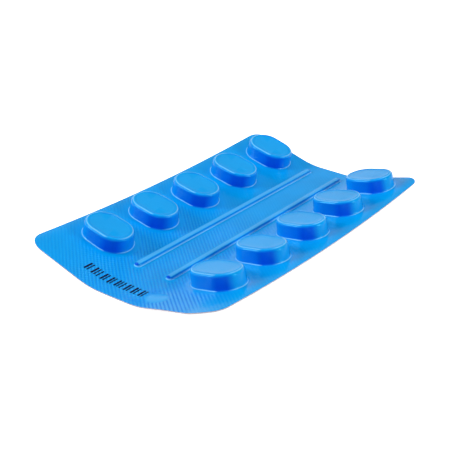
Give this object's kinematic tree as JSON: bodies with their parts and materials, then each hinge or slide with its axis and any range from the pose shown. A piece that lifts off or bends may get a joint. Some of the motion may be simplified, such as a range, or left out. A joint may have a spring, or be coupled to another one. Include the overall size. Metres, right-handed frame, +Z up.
{
  "type": "tablet strip",
  "caption": "Push-through strip pack for oblong tablets: rows of flat-topped pockets on a thin ribbed film, closed by flat foil and bent into a shallow trough.",
  "frame": {"origin": "under the middle of the strip, on the surface it lies on", "axes": "+Y along the strip, away from the wide printed end; +Z up, out of the pockets' tops; +X across the strip to the right"},
  "size_m": [0.057, 0.0936, 0.0081],
  "materials": {
    "formed_film": "opaque blue film, glossy, with a fine crossed knurl on the web",
    "lidding_foil": "bare rolled foil, satin, with the knurl's dimples",
    "ink": "black jet-printed ink, satin"
  },
  "bodies": {
    "root": {"blister_strip": "formed_film"}
  },
  "joints": []
}
